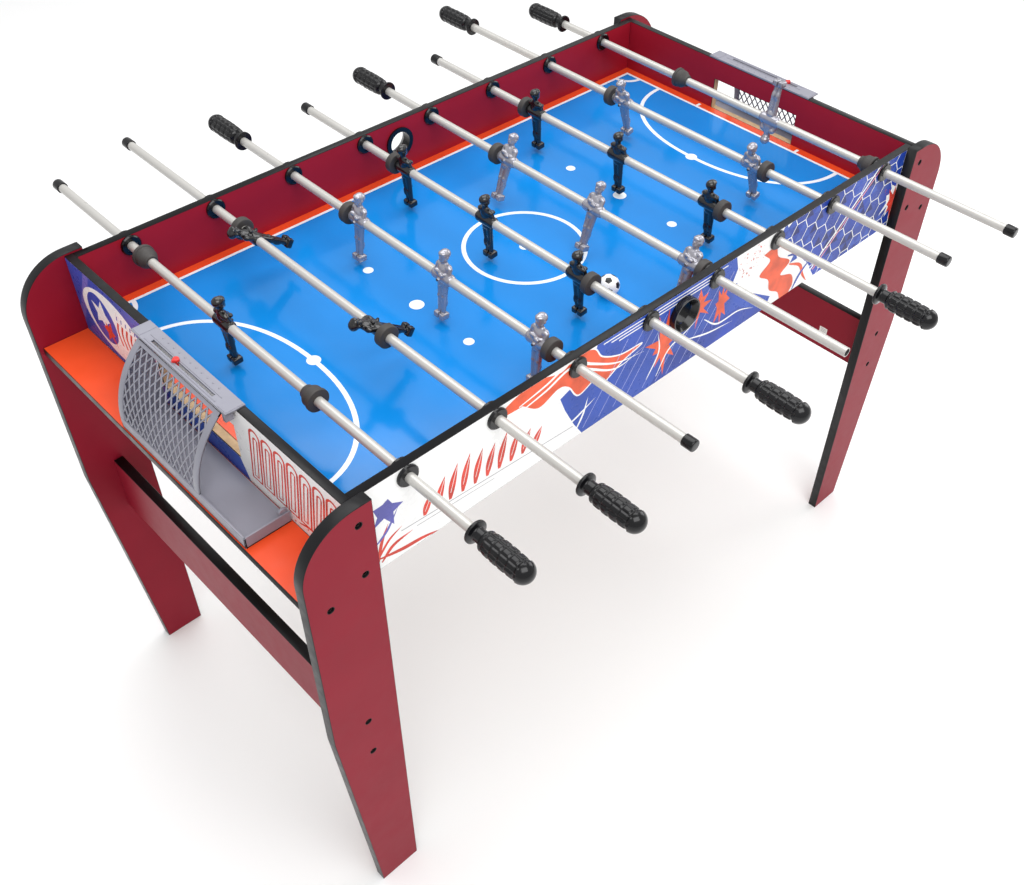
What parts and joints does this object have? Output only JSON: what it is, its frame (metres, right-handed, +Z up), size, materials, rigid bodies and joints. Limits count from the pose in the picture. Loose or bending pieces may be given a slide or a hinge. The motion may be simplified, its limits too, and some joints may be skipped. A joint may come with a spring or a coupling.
{
  "type": "foosball table",
  "caption": "Free-standing foosball table: printed cabinet on panel legs, sliding and turning rods with men and grips, grilled goals with score markers, ball entry cups and a ball.",
  "frame": {"origin": "on the floor, under the middle of the table", "axes": "+Z up, +X along the table from the left goal to the right goal, +Y across it from the front side to the rear side"},
  "size_m": [1.22, 1.106, 0.8421],
  "materials": {
    "printed_board": "printed foil on fibreboard, semi-gloss",
    "red_board": "printed foil on fibreboard with black edge band",
    "orange_board": "printed foil on fibreboard",
    "playfield": "blue printed foil with white lines, semi-gloss",
    "blackened_steel": "blackened",
    "chromed_steel": "bright",
    "grey_plastic": "moulded, matt",
    "black_plastic": "moulded, satin",
    "black_plastic_gloss": "moulded, glossy",
    "grey_plastic_gloss": "moulded, glossy",
    "white_plastic": "satin",
    "red_plastic": "glossy",
    "rubber": "matt"
  },
  "bodies": {
    "table": {"front_side_wall": "printed_board", "rear_side_wall": "printed_board", "left_end_wall": "printed_board", "right_end_wall": "printed_board", "playfield": "playfield", "left_end_shelf": "orange_board", "right_end_shelf": "orange_board", "front_left_leg": "red_board", "rear_left_leg": "red_board", "front_right_leg": "red_board", "rear_right_leg": "red_board", "left_stretcher": "red_board", "right_stretcher": "red_board", "leg_bolts": "blackened_steel", "left_goal": "grey_plastic", "right_goal": "grey_plastic", "ball_entry_cups": "black_plastic", "rod_bushes": "black_plastic"},
    "left_score_marker": {"left_score_marker": "red_plastic"},
    "right_score_marker": {"right_score_marker": "red_plastic"},
    "ball": {"ball": "white_plastic"},
    "rod1_bumper_pair": {"rod1_bumpers": "rubber"},
    "rod1": {"rod1_tube": "chromed_steel", "rod1_players": "black_plastic_gloss", "rod1_grip": "black_plastic_gloss", "rod1_cap": "black_plastic"},
    "rod2_bumper_pair": {"rod2_bumpers": "rubber"},
    "rod2": {"rod2_tube": "chromed_steel", "rod2_players": "black_plastic_gloss", "rod2_grip": "black_plastic_gloss", "rod2_cap": "black_plastic"},
    "rod3_bumper_pair": {"rod3_bumpers": "rubber"},
    "rod3": {"rod3_tube": "chromed_steel", "rod3_players": "grey_plastic_gloss", "rod3_grip": "black_plastic_gloss", "rod3_cap": "black_plastic"},
    "rod4_bumper_pair": {"rod4_bumpers": "rubber"},
    "rod4": {"rod4_tube": "chromed_steel", "rod4_players": "black_plastic_gloss", "rod4_grip": "black_plastic_gloss", "rod4_cap": "black_plastic"},
    "rod5_bumper_pair": {"rod5_bumpers": "rubber"},
    "rod5": {"rod5_tube": "chromed_steel", "rod5_players": "grey_plastic_gloss", "rod5_grip": "black_plastic_gloss"},
    "rod6_bumper_pair": {"rod6_bumpers": "rubber"},
    "rod6": {"rod6_tube": "chromed_steel", "rod6_players": "black_plastic_gloss", "rod6_grip": "black_plastic_gloss", "rod6_cap": "black_plastic"},
    "rod7_bumper_pair": {"rod7_bumpers": "rubber"},
    "rod7": {"rod7_tube": "chromed_steel", "rod7_players": "grey_plastic_gloss", "rod7_grip": "black_plastic_gloss", "rod7_cap": "black_plastic"},
    "rod8_bumper_pair": {"rod8_bumpers": "rubber"},
    "rod8": {"rod8_tube": "chromed_steel", "rod8_players": "grey_plastic_gloss", "rod8_grip": "black_plastic_gloss", "rod8_cap": "black_plastic"}
  },
  "joints": [
    {"name": "left_marker_slide", "type": "slide", "parent": "table", "child": "left_score_marker", "axis": [0, 1, 0], "range_m": [-0.078, 0.05]},
    {"name": "right_marker_slide", "type": "slide", "parent": "table", "child": "right_score_marker", "axis": [0, 1, 0], "range_m": [-0.016, 0.112]},
    {"name": "ball_roll", "type": "slide", "parent": "table", "child": "ball", "axis": [0, 1, 0], "range_m": [-0.102, 0.424]},
    {"name": "rod1_slide", "type": "slide", "parent": "table", "child": "rod1_bumper_pair", "axis": [0, 1, 0], "range_m": [-0.1425, 0.0265]},
    {"name": "rod1_spin", "type": "hinge", "parent": "rod1_bumper_pair", "child": "rod1", "pos_m": [-0.455, 0, 0.778], "axis": [0, 1, 0], "continuous": true},
    {"name": "rod2_slide", "type": "slide", "parent": "table", "child": "rod2_bumper_pair", "axis": [0, 1, 0], "range_m": [-0.176, 0.056]},
    {"name": "rod2_spin", "type": "hinge", "parent": "rod2_bumper_pair", "child": "rod2", "pos_m": [-0.325, 0, 0.778], "axis": [0, 1, 0], "continuous": true},
    {"name": "rod3_slide", "type": "slide", "parent": "table", "child": "rod3_bumper_pair", "axis": [0, 1, 0], "range_m": [-0.021, 0.123]},
    {"name": "rod3_spin", "type": "hinge", "parent": "rod3_bumper_pair", "child": "rod3", "pos_m": [-0.195, 0, 0.778], "axis": [0, 1, 0], "continuous": true},
    {"name": "rod4_slide", "type": "slide", "parent": "table", "child": "rod4_bumper_pair", "axis": [0, 1, 0], "range_m": [-0.081, 0.063]},
    {"name": "rod4_spin", "type": "hinge", "parent": "rod4_bumper_pair", "child": "rod4", "pos_m": [-0.065, 0, 0.778], "axis": [0, 1, 0], "continuous": true},
    {"name": "rod5_slide", "type": "slide", "parent": "table", "child": "rod5_bumper_pair", "axis": [0, 1, 0], "range_m": [0, 0.144]},
    {"name": "rod5_spin", "type": "hinge", "parent": "rod5_bumper_pair", "child": "rod5", "pos_m": [0.065, 0, 0.778], "axis": [0, 1, 0], "continuous": true},
    {"name": "rod6_slide", "type": "slide", "parent": "table", "child": "rod6_bumper_pair", "axis": [0, 1, 0], "range_m": [-0.074, 0.07]},
    {"name": "rod6_spin", "type": "hinge", "parent": "rod6_bumper_pair", "child": "rod6", "pos_m": [0.195, 0, 0.778], "axis": [0, 1, 0], "continuous": true},
    {"name": "rod7_slide", "type": "slide", "parent": "table", "child": "rod7_bumper_pair", "axis": [0, 1, 0], "range_m": [-0.097, 0.135]},
    {"name": "rod7_spin", "type": "hinge", "parent": "rod7_bumper_pair", "child": "rod7", "pos_m": [0.325, 0, 0.778], "axis": [0, 1, 0], "continuous": true},
    {"name": "rod8_slide", "type": "slide", "parent": "table", "child": "rod8_bumper_pair", "axis": [0, 1, 0], "range_m": [-0.0005, 0.1685]},
    {"name": "rod8_spin", "type": "hinge", "parent": "rod8_bumper_pair", "child": "rod8", "pos_m": [0.455, 0, 0.778], "axis": [0, 1, 0], "continuous": true}
  ]
}
